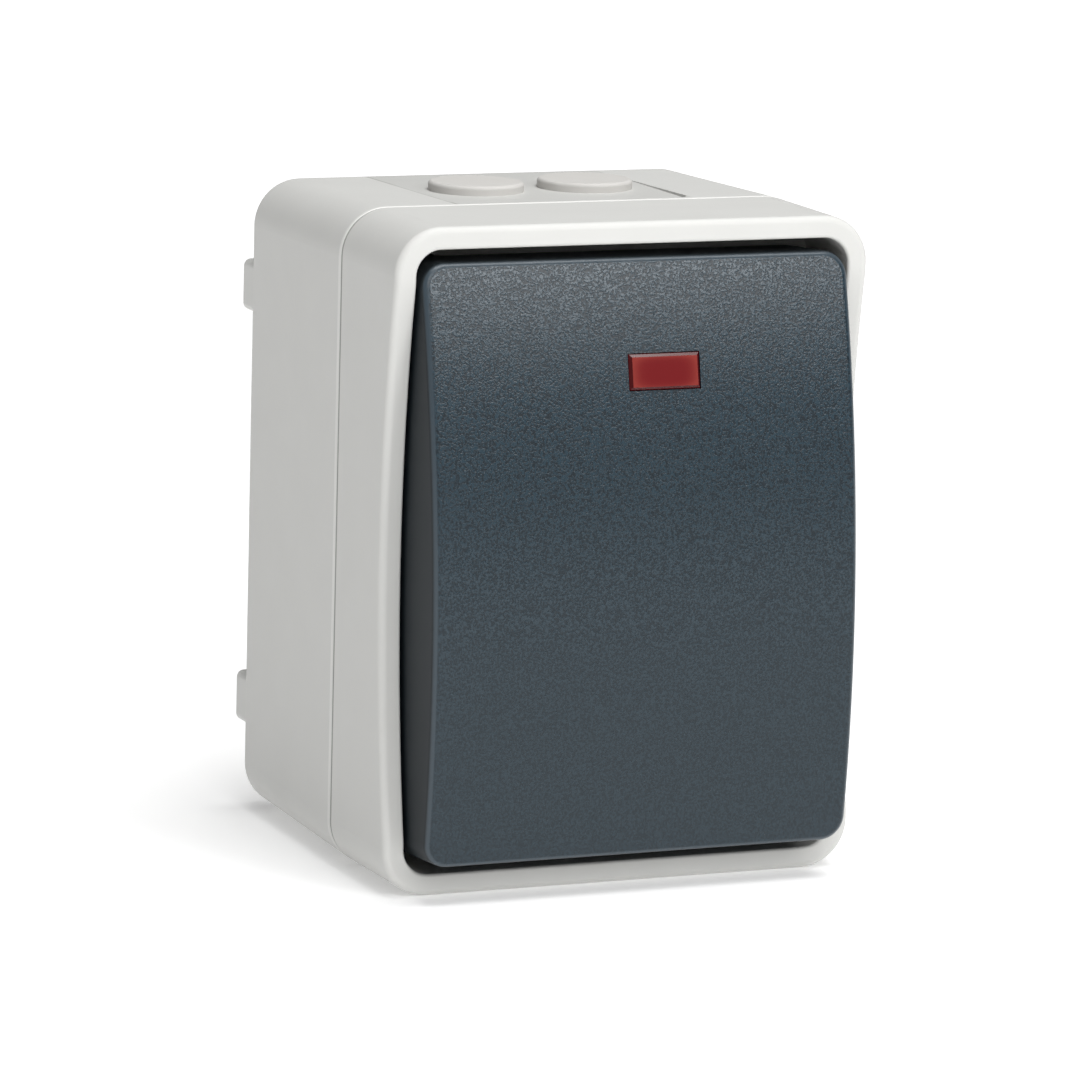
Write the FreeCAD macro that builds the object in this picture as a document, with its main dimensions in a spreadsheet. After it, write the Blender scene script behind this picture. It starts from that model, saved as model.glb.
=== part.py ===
# Surface-mounted weatherproof switch: two moulded shells with a sealed seam, a large tilting
# rocker with a red indicator lens, and the snap-action changeover insert behind it.
# The origin lies on the wall plane behind the middle of the housing. X points right seen from
# the front, the front faces -Y and Z is up. Depth is the distance from the wall, along -Y.
import FreeCAD, Part
import math
import os
import re
import Sketcher
from FreeCAD import Placement, Rotation, Vector

doc = FreeCAD.newDocument("weatherproof_switch")
sheet = doc.addObject("Spreadsheet::Sheet", "Sizes")

# Driving dimensions in millimetres and degrees
SIZES = (
    # both housing shells
    ("seam_width", 65.6), ("seam_height", 86.2), ("corner_radius", 6.2), ("seam_chamfer", 0.3),
    ("seam_gap", 0.25), ("lip_wall", 1.5), ("lip_clearance", 0.15), ("tongue_wall", 1.4),
    ("tongue_length", 1.5), ("seal_width", 1.5), ("seal_thickness", 1.5),
    # rear box with its feet
    ("foot_height", 3.6), ("foot_width", 9.0), ("foot_length", 6.9), ("foot_from_end", 14.55),
    ("foot_inset", 0.1), ("foot_round", 1.0), ("foot_edge", 0.5), ("wall_hole", 4.4),
    ("box_depth", 34.3), ("box_draft", 0.55), ("box_wall", 3.2), ("floor_thickness", 2.4),
    ("back_round", 1.0), ("rib_thickness", 1.2), ("rib_below_ledge", 1.0),
    # cable entries in the top wall
    ("entry_pad_width", 33.3), ("entry_pad_rise", 0.15), ("entry_pad_lip", 0.5), ("entry_pad_round", 3.0),
    ("entry_seat", 0.15), ("entry_seat_diameter", 14.4), ("entry_spread", 15.5), ("entry_depth", 21.7),
    ("cap_diameter", 12.6), ("cap_thickness", 1.25),
    ("cap_round", 0.5), ("neck_diameter", 9.0), ("neck_clearance", 0.05), ("flange_diameter", 11.6),
    ("flange_thickness", 1.2), ("flange_taper", 0.8), ("sleeve_bore", 6.8), ("membrane", 0.8),
    # front cover
    ("cover_depth", 18.9), ("cover_draft", 0.12), ("rim_wall", 2.84), ("rim_round", 0.9),
    ("rim_inner_round", 0.4), ("scoop_depth", 3.1), ("scoop_from_end", 7.4), ("scoop_blend", 6.0),
    ("well_depth", 12.8), ("deck_thickness", 2.0), ("deck_opening_round", 2.0),
    # cover screws, diagonal, under the rocker
    ("cover_screw_inset", 8.8), ("cover_screw_from_end", 8.1), ("cover_screw_shank", 3.2),
    ("cover_screw_head", 5.6), ("cover_screw_head_height", 1.4), ("cover_screw_length", 17.0),
    ("screw_seal_thickness", 0.8),
    ("cup_wall", 1.3), ("cup_floor", 1.8), ("cup_clearance", 0.3), ("cover_boss", 6.0),
    ("thread_clearance", 0.05), ("slot_width", 0.8), ("slot_depth", 0.7), ("screw_round", 0.3),
    # support plate, its seal and its fixings
    ("plate_margin", 1.35), ("plate_round", 3.0), ("plate_thickness", 1.2), ("plate_clearance", 0.8),
    ("insert_seal_thickness", 1.4), ("insert_seal_width", 2.4), ("insert_seal_inset", 1.0),
    ("insert_seal_side_margin", 0.8), ("insert_seal_end_margin", 1.9),
    ("post_inset", 2.8), ("post_z", 18.0), ("post_diameter", 5.6),
    ("insert_screw_shank", 3.0), ("insert_screw_head", 4.8), ("insert_screw_head_height", 1.2),
    ("insert_screw_length", 9.0), ("hole_clearance", 0.2),
    ("rivet_offset", 3.1), ("rivet_z", 6.5), ("rivet_diameter", 2.0), ("rivet_head", 3.6),
    ("rivet_head_height", 1.0),
    # switch base
    ("base_clearance", 1.5), ("base_depth", 21.0), ("base_round", 1.5),
    ("lug_reach", 5.5), ("lug_height", 20.0), ("lug_thickness", 2.5),
    ("ear_thickness", 3.0), ("ear_width", 9.0), ("ear_reach", 3.4), ("ear_round", 3.0),
    ("chamber_wall", 3.2), ("chamber_end_wall", 5.5), ("chamber_depth", 11.0),
    # terminals and contacts
    ("strip_thickness", 0.8), ("block_width", 7.0), ("block_height", 4.5), ("block_depth", 9.0),
    ("block_clearance", 0.2), ("wire_hole", 3.2), ("wire_depth", 3.0), ("common_inset", 5.3),
    ("terminal_pitch", 8.7), ("strip_lead", 2.0), ("strip_side", 3.0), ("arm_width", 3.6),
    ("bracket_width", 6.0), ("bracket_spread", 12.8), ("bracket_rise", 1.8), ("bracket_round", 1.2),
    ("terminal_screw_shank", 3.0), ("terminal_screw_head", 4.6), ("terminal_screw_head_height", 1.8),
    ("terminal_screw_length", 4.0), ("contact_from_end", 4.5), ("contact_diameter", 3.0),
    ("contact_height", 0.8), ("contact_shank", 1.6), ("contact_gap", 0.3),
    ("earth_x", -12.5), ("earth_from_end", 13.1), ("earth_size", 7.0), ("earth_pedestal", 2.5),
    ("earth_guide", 1.5), ("earth_guide_height", 4.0),
    # indicator lamp
    ("lamp_x", 6.5), ("lamp_from_end", 2.7), ("lamp_diameter", 5.2), ("lamp_length", 12.0),
    ("lamp_socket", 3.0), ("lamp_clearance", 0.1), ("holder_width", 8.6), ("holder_height", 6.8),
    ("holder_depth", 7.0),
    # rocker, built square and then tilted about its pivot
    ("pivot_rise", 11.6), ("rocker_tilt", 4.1), ("rocker_side_gap", 0.46), ("rocker_end_gap", 1.8),
    ("rocker_crown", 8.1), ("face_radius", 191.0), ("rocker_skirt", 7.8), ("rocker_wall", 1.8),
    ("rocker_face", 2.0), ("rocker_corner", 3.2), ("rocker_round", 0.9),
    ("grip_inset", 2.9), ("grip_thickness", 1.4),
    # indicator lens in the rocker
    ("lens_x", 2.75), ("lens_from_end", 14.45), ("lens_width", 9.8), ("lens_height", 4.6),
    ("lens_proud", 0.3), ("lens_bevel", 0.4), ("lens_clearance", 0.08), ("lens_flange", 1.2),
    ("lens_flange_thickness", 1.0),
    # cradle, spring, plunger and contact lever
    ("trunnion", 4.0), ("trunnion_clearance", 0.05), ("trunnion_engagement", 2.8), ("hub", 6.8),
    ("hub_gap", 0.6), ("cradle_side_gap", 0.9), ("cradle_end_gap", 2.9), ("cradle_rear", 1.0),
    ("cradle_thickness", 2.5), ("rail_thickness", 1.3), ("rail_height", 1.6), ("rail_clearance", 0.1),
    ("barrel", 7.2), ("barrel_length", 15.0), ("barrel_bore", 5.0), ("bore_end", 1.0),
    ("plunger_diameter", 4.8), ("plunger_reach", 18.6), ("plunger_collar", 2.6), ("plunger_stem", 2.4),
    ("plunger_stem_length", 4.5), ("spring_wire", 0.6), ("spring_outside", 4.6), ("spring_turns", 9.0),
    ("lever_reach", 19.4), ("lever_width", 8.0), ("lever_overhang", 2.0), ("lever_thickness", 1.0),
    ("stub", 2.0), ("stub_x", 5.2), ("stub_length", 4.4), ("pin_clearance", 0.05),
)
for row, (alias, number) in enumerate(SIZES, start=1):
    sheet.set(f"A{row}", alias.replace("_", " "))
    sheet.set(f"B{row}", str(number))
    sheet.setAlias(f"B{row}", alias)
doc.recompute()
NAMES = {alias for alias, number in SIZES}

# Edge tests look at this many points on an edge, and forgive this much in millimetres
SAMPLES = 9
NEAR = 1e-3
OUTLINE_SLACK = 0.3

# Places and sizes that follow from the driving dimensions, from the shells inwards
SEAM = "(foot_height + box_depth)"
FRONT = f"({SEAM} + cover_depth)"
FLOOR = "(foot_height + floor_thickness)"
LEDGE = f"({SEAM} - tongue_length - seal_thickness)"
BACK_WIDTH = "(seam_width - 2 * box_draft)"
BACK_HEIGHT = "(seam_height - 2 * box_draft)"
FRONT_WIDTH = "(seam_width - 2 * cover_draft)"
FRONT_HEIGHT = "(seam_height - 2 * cover_draft)"
WELL_WIDTH = f"({FRONT_WIDTH} - 2 * rim_wall)"
WELL_HEIGHT = f"({FRONT_HEIGHT} - 2 * rim_wall)"
WELL_RADIUS = "(corner_radius - rim_wall)"
SCOOP_HALF = "(seam_height / 2 - scoop_from_end)"
DECK_FRONT = f"({FRONT} - well_depth)"
DECK_REAR = f"({DECK_FRONT} - deck_thickness)"
TONGUE_INSET = "(lip_wall + lip_clearance)"
CAVITY_INSET = f"({TONGUE_INSET} + tongue_wall)"
FOOT_X = f"({BACK_WIDTH} / 2 - foot_inset - foot_width / 2)"
FOOT_Z = f"({BACK_HEIGHT} / 2 - foot_from_end)"
ENTRY_PAD = f"({BACK_HEIGHT} / 2 + entry_pad_rise)"
ENTRY_SEAT = f"({BACK_HEIGHT} / 2 - box_wall - entry_seat)"
EARTH_REAR = f"({FLOOR} + earth_pedestal)"
EARTH_Z = "(earth_from_end - seam_height / 2)"
COVER_SCREW_X = "(seam_width / 2 - cover_screw_inset)"
COVER_SCREW_Z = "(seam_height / 2 - cover_screw_from_end)"
CUP_RECESS = "(cover_screw_head_height + screw_seal_thickness)"
CUP_REAR = f"({DECK_FRONT} - {CUP_RECESS} - cup_floor)"
CUP_DIAMETER = "(cover_screw_head + 2 * cup_clearance)"
CUP_OUTSIDE = f"({CUP_DIAMETER} + 2 * cup_wall)"
PLATE_FRONT = f"({DECK_REAR} - insert_seal_thickness)"
PLATE_REAR = f"({PLATE_FRONT} - plate_thickness)"
PLATE_WIDTH = f"(seam_width - 2 * ({CAVITY_INSET} + plate_margin))"
PLATE_HEIGHT = f"(2 * ({COVER_SCREW_Z} - {CUP_OUTSIDE} / 2 - plate_clearance))"
POST_X = f"({PLATE_WIDTH} / 2 - post_inset)"
SEAL_BAND = "(insert_seal_inset + insert_seal_width)"
OPENING_WIDTH = f"(2 * ({POST_X} - insert_screw_head / 2 - {SEAL_BAND} - insert_seal_side_margin))"
OPENING_HEIGHT = f"({PLATE_HEIGHT} - 2 * ({SEAL_BAND} + insert_seal_end_margin))"
BASE_WIDTH = f"({OPENING_WIDTH} - 2 * base_clearance)"
BASE_HEIGHT = f"({OPENING_HEIGHT} - 2 * base_clearance)"
RIVET_X = f"({BASE_WIDTH} / 2 + rivet_offset)"
PIVOT = f"({DECK_FRONT} + pivot_rise)"
EAR_X = f"({BASE_WIDTH} / 2 - ear_thickness / 2)"
EAR_INSIDE = f"({BASE_WIDTH} / 2 - ear_thickness)"
CHAMBER_WIDTH = f"({BASE_WIDTH} - 2 * chamber_wall)"
CHAMBER_END = f"({BASE_HEIGHT} / 2 - chamber_end_wall)"
CHAMBER_FLOOR = f"({PLATE_REAR} - chamber_depth)"
COMMON_X = f"(common_inset - {BASE_WIDTH} / 2)"
TERMINAL_X = f"({COMMON_X} + terminal_pitch)"
CONTACT_Z = f"({CHAMBER_END} - contact_from_end)"
STRIP_START = f"({CONTACT_Z} - strip_lead)"
LEVER = f"({PIVOT} - lever_reach)"
LEVER_REAR = "(-lever_thickness / 2)"
CONTACT_FACE = (f"({LEVER} - ({CONTACT_Z} + contact_diameter / 2) * sin(rocker_tilt)"
                " - contact_height - lever_thickness / 2 - contact_gap)")
STRIP_FRONT = f"({CONTACT_FACE} - contact_height)"
STRIP_REAR = f"({STRIP_FRONT} - strip_thickness)"
BLOCK_FRONT = f"({CHAMBER_FLOOR} + block_depth)"
BLOCK_Z = f"({CHAMBER_END} + block_height / 2)"
LAMP_Z = f"({BASE_HEIGHT} / 2 - lamp_from_end)"
ROCKER_X = f"({WELL_WIDTH} / 2 - rocker_side_gap)"
ROCKER_Z = f"({WELL_HEIGHT} / 2 - rocker_end_gap)"
LENS_Z = f"({ROCKER_Z} - lens_from_end)"
CRADLE_FRONT = "(cradle_rear + cradle_thickness)"
CRADLE_X = f"({EAR_INSIDE} - cradle_side_gap)"
CRADLE_Z = f"({LAMP_Z} - holder_height / 2 - cradle_end_gap)"
GRIP_X = f"({CRADLE_X} - grip_inset)"


# Drawing and feature helpers

def bound(formula):
    """The formula with each size's name turned into its cell."""
    return re.sub(r"[a-z_]+", lambda word: f"Sizes.{word[0]}" if word[0] in NAMES else word[0], formula)


def value(formula):
    return float(sheet.evalExpression(bound(formula)))


def new_body(label):
    return doc.addObject("PartDesign::Body", label)


def sketch(body, view, offset="0"):
    """A sketch on one of the body's planes: front is (x, z), side (depth, z) and top (x, depth)."""
    role, turn = {
        "front": ("XZ_Plane", Rotation()),
        "side": ("YZ_Plane", Rotation(Vector(0, 1, 0), 180)),
        "top": ("XY_Plane", Rotation(Vector(1, 0, 0), 180)),
    }[view]
    drawn = body.newObject("Sketcher::SketchObject", "Sketch")
    drawn.AttachmentSupport = [(next(p for p in body.Origin.OriginFeatures if p.Role == role), "")]
    drawn.MapMode = "FlatFace"
    drawn.AttachmentOffset = Placement(Vector(), turn)
    drawn.setExpression("AttachmentOffset.Base.z", bound(offset))
    return drawn


def constrain(drawn, formula, kind, *where):
    number = drawn.addConstraint(Sketcher.Constraint(kind, *where, value(formula)))
    drawn.setExpression(f"Constraints[{number}]", bound(formula))


def outline(drawn, corners):
    """A closed outline. Each corner is (across, up) or (across, up, radius of the arc that leaves it),
    and an arc runs anticlockwise when its radius is positive."""
    points = [Vector(value(corner[0]), value(corner[1]), 0) for corner in corners]
    edges = []
    for start, end, corner in zip(points, points[1:] + points[:1], corners):
        if len(corner) == 2:
            edges.append((drawn.addGeometry(Part.LineSegment(start, end)), 1, 2))
            continue
        radius = value(corner[2])
        chord = end - start
        left = Vector(-chord.y, chord.x, 0).normalize()
        rise = math.sqrt(radius ** 2 - chord.Length ** 2 / 4)
        centre = (start + end) / 2 + left * math.copysign(rise, radius)
        first, last = (start, end) if radius > 0 else (end, start)
        angles = [math.atan2(p.y - centre.y, p.x - centre.x) for p in (first, last)]
        circle_of_arc = Part.Circle(centre, Vector(0, 0, 1), abs(radius))
        arc = drawn.addGeometry(Part.ArcOfCircle(circle_of_arc, *angles))
        edges.append((arc, 1, 2) if radius > 0 else (arc, 2, 1))
    for number, (edge, start, end) in enumerate(edges):
        following = edges[(number + 1) % len(edges)]
        drawn.addConstraint(Sketcher.Constraint("Coincident", edge, end, following[0], following[1]))
        constrain(drawn, corners[number][0], "DistanceX", -1, 1, edge, start)
        constrain(drawn, corners[number][1], "DistanceY", -1, 1, edge, start)
        if len(corners[number]) == 3:
            constrain(drawn, f"abs({corners[number][2]})", "Radius", edge)
    return drawn


def rectangle(drawn, x0, x1, z0, z1, radius=None):
    if radius is None:
        return outline(drawn, [(x0, z0), (x1, z0), (x1, z1), (x0, z1)])
    left, right = f"{x0} + ({radius})", f"{x1} - ({radius})"
    low, high = f"{z0} + ({radius})", f"{z1} - ({radius})"
    return outline(drawn, [(left, z0), (right, z0, radius), (x1, low), (x1, high, radius),
                           (right, z1), (left, z1, radius), (x0, high), (x0, low, radius)])


def centred(drawn, width, height, radius=None, x="0", z="0"):
    return rectangle(drawn, f"{x} - ({width}) / 2", f"{x} + ({width}) / 2",
                     f"{z} - ({height}) / 2", f"{z} + ({height}) / 2", radius)


def circles(drawn, places, diameter):
    for x, z in places:
        centre = Vector(value(x), value(z), 0)
        ring = drawn.addGeometry(Part.Circle(centre, Vector(0, 0, 1), value(diameter) / 2))
        constrain(drawn, x, "DistanceX", -1, 1, ring, 3)
        constrain(drawn, z, "DistanceY", -1, 1, ring, 3)
        constrain(drawn, diameter, "Diameter", ring)
    return drawn


def feature(drawn, kind, **settings):
    made = drawn.getParentGeoFeatureGroup().newObject(f"PartDesign::{kind}", kind)
    made.Profile = drawn
    for name, setting in settings.items():
        setattr(made, name, setting)
    return made


def pad(drawn, length, back=False, symmetric=False):
    made = feature(drawn, "Pad", Reversed=back, SideType="Symmetric" if symmetric else "One side")
    made.setExpression("Length", bound(length))
    doc.recompute()
    return made


def pocket(drawn, length, forward=False, symmetric=False):
    """Cuts towards the wall, or forward, and stops if nothing was cut."""
    made = feature(drawn, "Pocket", Reversed=forward, SideType="Symmetric" if symmetric else "One side")
    made.setExpression("Length", bound(length))
    doc.recompute()
    if made.Shape.Volume > made.BaseFeature.Shape.Volume - NEAR:
        raise RuntimeError(f"{made.Name} cuts nothing")
    return made


def loft(kind, first, *sections):
    made = feature(first, kind, Sections=list(sections), Ruled=True)
    doc.recompute()
    return made


def revolve(drawn, axis):
    made = feature(drawn, "Revolution", ReferenceAxis=(drawn, [axis]))
    doc.recompute()
    return made


def dress(body, kind, size, test):
    """A fillet or chamfer on every edge of the body that passes the test."""
    base = body.Tip
    edges = [f"Edge{number}" for number, edge in enumerate(base.Shape.Edges, start=1)
             if test(edge.discretize(SAMPLES))]
    made = body.newObject(f"PartDesign::{kind}", kind)
    made.Base = (base, edges)
    made.setExpression("Radius" if kind == "Fillet" else "Size", bound(size))
    doc.recompute()
    return made


def at_depth(depth):
    level = value(depth)
    return lambda points: all(abs(-p.y - level) < NEAR for p in points)


def on_outline(width, height, radius):
    """Tests that points lie on a rounded rectangle seen from the front."""
    half_x, half_z, round_radius = value(width) / 2, value(height) / 2, value(radius)

    def off(p):
        x, z = abs(p.x) - half_x + round_radius, abs(p.z) - half_z + round_radius
        return math.hypot(max(x, 0), max(z, 0)) + min(max(x, z), 0) - round_radius
    return lambda points: all(abs(off(p)) < OUTLINE_SLACK for p in points)


def mirrored(x, z):
    return [(f"{sx} * {x}", f"{sz} * {z}") for sx in (-1, 1) for sz in (-1, 1)]


def studs(label, places, steps):
    """Round pins of several steps (start depth, end depth, diameter), one at each place."""
    body = new_body(label)
    for start, end, diameter in steps:
        pad(circles(sketch(body, "front", start), places, diameter), f"{end} - {start}")
    return body


def screws(label, places, seat, shank, length, head, head_height):
    """Slotted pan-head screws whose heads sit on the seat depth."""
    front = f"({seat} + {head_height})"
    body = studs(label, places, [(f"({seat} - {length})", seat, shank), (seat, front, head)])
    dress(body, "Fillet", "screw_round", at_depth(front))
    slot = sketch(body, "front", front)
    for x, z in places:
        centred(slot, f"{head} + slot_width", "slot_width", x=x, z=z)
    pocket(slot, "slot_depth")
    return body


def seat_on(body, depth, angle):
    """Puts a body that was drawn about a pivot at that pivot's depth, turned about X."""
    body.Placement = Placement(Vector(), Rotation(Vector(1, 0, 0), value(angle)))
    body.setExpression("Placement.Base.y", bound(f"-{depth}"))
    body.setExpression("Placement.Rotation.Angle", bound(angle))
    doc.recompute()
    return body


COVER_SCREWS = [(f"-1 * {COVER_SCREW_X}", COVER_SCREW_Z), (COVER_SCREW_X, f"-1 * {COVER_SCREW_Z}")]
INSERT_SCREWS = mirrored(POST_X, "post_z")
RIVETS = mirrored(RIVET_X, "rivet_z")
FEET = mirrored(FOOT_X, FOOT_Z)
ENTRIES = [("-entry_spread / 2", "entry_depth"), ("entry_spread / 2", "entry_depth")]


# Housing shells and their seals

def seam_edge(body, full_depth, seam_depth):
    """Two outlines at the seam: the full one, and the joint face drawn in by the small chamfer."""
    full = centred(sketch(body, "front", full_depth), "seam_width", "seam_height", "corner_radius")
    edge = centred(sketch(body, "front", seam_depth), "seam_width - 2 * seam_chamfer",
                   "seam_height - 2 * seam_chamfer", "corner_radius - seam_chamfer")
    return full, edge


def inset_outline(drawn, inset):
    """The seam's outline moved in by the inset."""
    return centred(drawn, f"seam_width - 2 * {inset}", f"seam_height - 2 * {inset}",
                   f"corner_radius - {inset}")


def make_rear_box():
    """Drafted box with four feet, plate posts, cover bosses and two cable entries on top."""
    body = new_body("rear_box")
    back = centred(sketch(body, "front", "foot_height"), BACK_WIDTH, BACK_HEIGHT, "corner_radius")
    loft("AdditiveLoft", back, *seam_edge(body, f"{SEAM} - seam_chamfer", SEAM))
    dress(body, "Fillet", "back_round", at_depth("foot_height"))

    floor = sketch(body, "front", FLOOR)
    centred(floor, f"{BACK_WIDTH} - 2 * box_wall", f"{BACK_HEIGHT} - 2 * box_wall",
            "corner_radius - box_wall")
    loft("SubtractiveLoft", floor, inset_outline(sketch(body, "front", SEAM), "box_wall"))
    pocket(inset_outline(sketch(body, "front", SEAM), "lip_wall"), f"{SEAM} - {LEDGE}")

    feet = sketch(body, "front")
    for x, z in FEET:
        centred(feet, "foot_width", "foot_length", "foot_round", x, z)
    pad(feet, "foot_height + back_round")
    dress(body, "Fillet", "foot_edge", at_depth("0"))
    pocket(circles(sketch(body, "front", FLOOR), FEET, "wall_hole"), FLOOR)

    entry_pad = sketch(body, "top", ENTRY_PAD)
    rectangle(entry_pad, "-entry_pad_width / 2", "entry_pad_width / 2", "foot_height - entry_pad_round",
              f"{SEAM} - seam_chamfer - entry_pad_lip", "entry_pad_round")
    pocket(entry_pad, "box_wall")
    pad(circles(sketch(body, "top", ENTRY_SEAT), ENTRIES, "entry_seat_diameter"), "box_wall", back=True)
    bore = "neck_diameter + 2 * neck_clearance"
    pocket(circles(sketch(body, "top", ENTRY_SEAT), ENTRIES, bore), "2 * box_wall")

    pad(circles(sketch(body, "front", FLOOR), INSERT_SCREWS, "post_diameter"), f"{PLATE_REAR} - {FLOOR}")
    pad(circles(sketch(body, "front", FLOOR), COVER_SCREWS, "cover_boss"), f"{CUP_REAR} - {FLOOR}")
    ribs = sketch(body, "front", FLOOR)
    for x, z in INSERT_SCREWS:
        side = "-1" if x.startswith("-1") else "1"
        outer = f"{side} * ({BACK_WIDTH} / 2 - lip_wall)"
        rectangle(ribs, f"{x} + {side} * post_diameter / 4", outer,
                  f"{z} - rib_thickness / 2", f"{z} + rib_thickness / 2")
    for x, z in COVER_SCREWS:
        side = "-1" if z.startswith("-") else "1"
        outer = f"{side} * ({BACK_HEIGHT} / 2 - lip_wall)"
        rectangle(ribs, f"{x} - rib_thickness / 2", f"{x} + rib_thickness / 2",
                  f"{z} + {side} * cover_boss / 4", outer)
    pad(ribs, f"{LEDGE} - rib_below_ledge - {FLOOR}")
    pilot = "insert_screw_shank + 2 * thread_clearance"
    pocket(circles(sketch(body, "front", PLATE_REAR), INSERT_SCREWS, pilot), "insert_screw_length")
    pilot = "cover_screw_shank + 2 * thread_clearance"
    pocket(circles(sketch(body, "front", CUP_REAR), COVER_SCREWS, pilot), "cover_screw_length")

    pedestal = sketch(body, "front", FLOOR)
    centred(pedestal, "earth_size + 2 * earth_guide", "earth_size", x="earth_x", z=EARTH_Z)
    pad(pedestal, "earth_pedestal + earth_guide_height")
    saddle = sketch(body, "front", f"{EARTH_REAR} + earth_guide_height")
    centred(saddle, "earth_size + 2 * block_clearance", "earth_size + 2 * earth_guide",
            x="earth_x", z=EARTH_Z)
    pocket(saddle, "earth_guide_height")
    return body


def make_front_cover():
    """Cover with a deep rocker well, scooped side rims and a tongue that presses on the seal."""
    body = new_body("front_cover")
    full, edge = seam_edge(body, f"{SEAM} + seam_gap + seam_chamfer", f"{SEAM} + seam_gap")
    front = centred(sketch(body, "front", FRONT), FRONT_WIDTH, FRONT_HEIGHT, "corner_radius")
    loft("AdditiveLoft", edge, full, front)
    pocket(centred(sketch(body, "front", FRONT), WELL_WIDTH, WELL_HEIGHT, WELL_RADIUS), "well_depth")

    tongue = inset_outline(sketch(body, "front", f"{SEAM} - tongue_length"), TONGUE_INSET)
    pad(tongue, "tongue_length + seam_gap + seam_chamfer")
    cavity = inset_outline(sketch(body, "front", f"{SEAM} - tongue_length"), CAVITY_INSET)
    pocket(cavity, f"{DECK_REAR} - {SEAM} + tongue_length", forward=True)

    cups = circles(sketch(body, "front", CUP_REAR), COVER_SCREWS, CUP_OUTSIDE)
    pad(cups, f"{DECK_REAR} - {CUP_REAR}")
    pocket(circles(sketch(body, "front", DECK_FRONT), COVER_SCREWS, CUP_DIAMETER), CUP_RECESS)
    hole = "cover_screw_shank + 2 * hole_clearance"
    pocket(circles(sketch(body, "front", DECK_FRONT), COVER_SCREWS, hole), f"{DECK_FRONT} - {CUP_REAR}")
    opening = sketch(body, "front", DECK_FRONT)
    centred(opening, OPENING_WIDTH, OPENING_HEIGHT, "deck_opening_round")
    pocket(opening, "deck_thickness")

    radius = f"({SCOOP_HALF} ^ 2 / (2 * scoop_depth) + scoop_depth / 2)"
    beyond = f"{FRONT} + scoop_depth"
    scoop = sketch(body, "side")
    outline(scoop, [(FRONT, f"-{SCOOP_HALF}", f"-{radius}"), (FRONT, SCOOP_HALF),
                    (beyond, SCOOP_HALF), (beyond, f"-{SCOOP_HALF}")])
    pocket(scoop, "2 * seam_width", symmetric=True)
    level, height = value(FRONT), value(SCOOP_HALF)
    dress(body, "Fillet", "scoop_blend",
          lambda points: all(abs(-p.y - level) < NEAR and abs(abs(p.z) - height) < NEAR for p in points))
    lowest = level - value("scoop_depth") - NEAR
    outer = on_outline(FRONT_WIDTH, FRONT_HEIGHT, "corner_radius")
    dress(body, "Fillet", "rim_round",
          lambda points: min(-p.y for p in points) > lowest and outer(points))
    inner = on_outline(WELL_WIDTH, WELL_HEIGHT, WELL_RADIUS)
    dress(body, "Fillet", "rim_inner_round",
          lambda points: min(-p.y for p in points) > lowest and inner(points))
    return body


def make_ring(label, depth, width, height, radius, across, thickness):
    """A flat gasket of rectangular section."""
    body = new_body(label)
    drawn = centred(sketch(body, "front", depth), width, height, radius)
    centred(drawn, f"{width} - 2 * {across}", f"{height} - 2 * {across}", f"{radius} - {across}")
    pad(drawn, thickness)
    return body


def make_housing_seal():
    return make_ring("housing_seal", LEDGE,
                     f"(seam_width - 2 * {TONGUE_INSET})", f"(seam_height - 2 * {TONGUE_INSET})",
                     f"(corner_radius - {TONGUE_INSET})", "seal_width", "seal_thickness")


def make_insert_seal():
    return make_ring("insert_seal", PLATE_FRONT,
                     f"({OPENING_WIDTH} + 2 * {SEAL_BAND})", f"({OPENING_HEIGHT} + 2 * {SEAL_BAND})",
                     "(deck_opening_round + insert_seal_width)", "insert_seal_width", "insert_seal_thickness")


def make_grommet(label, x):
    """Blind cable grommet: flat cap outside, hollow neck through the wall, tapered flange inside."""
    body = new_body(label)
    neck_end = f"({ENTRY_SEAT} - {ENTRY_PAD})"
    flange_end = f"({neck_end} - flange_thickness)"
    profile = sketch(body, "front")
    outline(profile, [
        ("0", "cap_thickness"),
        ("cap_diameter / 2 - cap_round", "cap_thickness", "-cap_round"),
        ("cap_diameter / 2", "cap_thickness - cap_round"),
        ("cap_diameter / 2", "0"),
        ("neck_diameter / 2", "0"),
        ("neck_diameter / 2", neck_end),
        ("flange_diameter / 2", neck_end),
        ("flange_diameter / 2 - flange_taper", flange_end),
        ("sleeve_bore / 2", flange_end),
        ("sleeve_bore / 2", "cap_thickness - membrane"),
        ("0", "cap_thickness - membrane"),
    ])
    revolve(profile, "V_Axis")
    body.setExpression("Placement.Base.x", bound(x))
    body.setExpression("Placement.Base.y", bound("-entry_depth"))
    body.setExpression("Placement.Base.z", bound(ENTRY_PAD))
    doc.recompute()
    return body


def make_cover_screws():
    return screws("cover_screws", COVER_SCREWS, f"({DECK_FRONT} - cover_screw_head_height)",
                  "cover_screw_shank", "cover_screw_length", "cover_screw_head", "cover_screw_head_height")


def make_cover_screw_seals():
    rear = f"({DECK_FRONT} - {CUP_RECESS})"
    front = f"({rear} + screw_seal_thickness)"
    body = studs("cover_screw_seals", COVER_SCREWS, [(rear, front, "cover_screw_head")])
    hole = "cover_screw_shank + 2 * thread_clearance"
    pocket(circles(sketch(body, "front", front), COVER_SCREWS, hole), "screw_seal_thickness")
    return body


# Insert: support plate, switch base, terminals and indicator lamp

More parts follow.
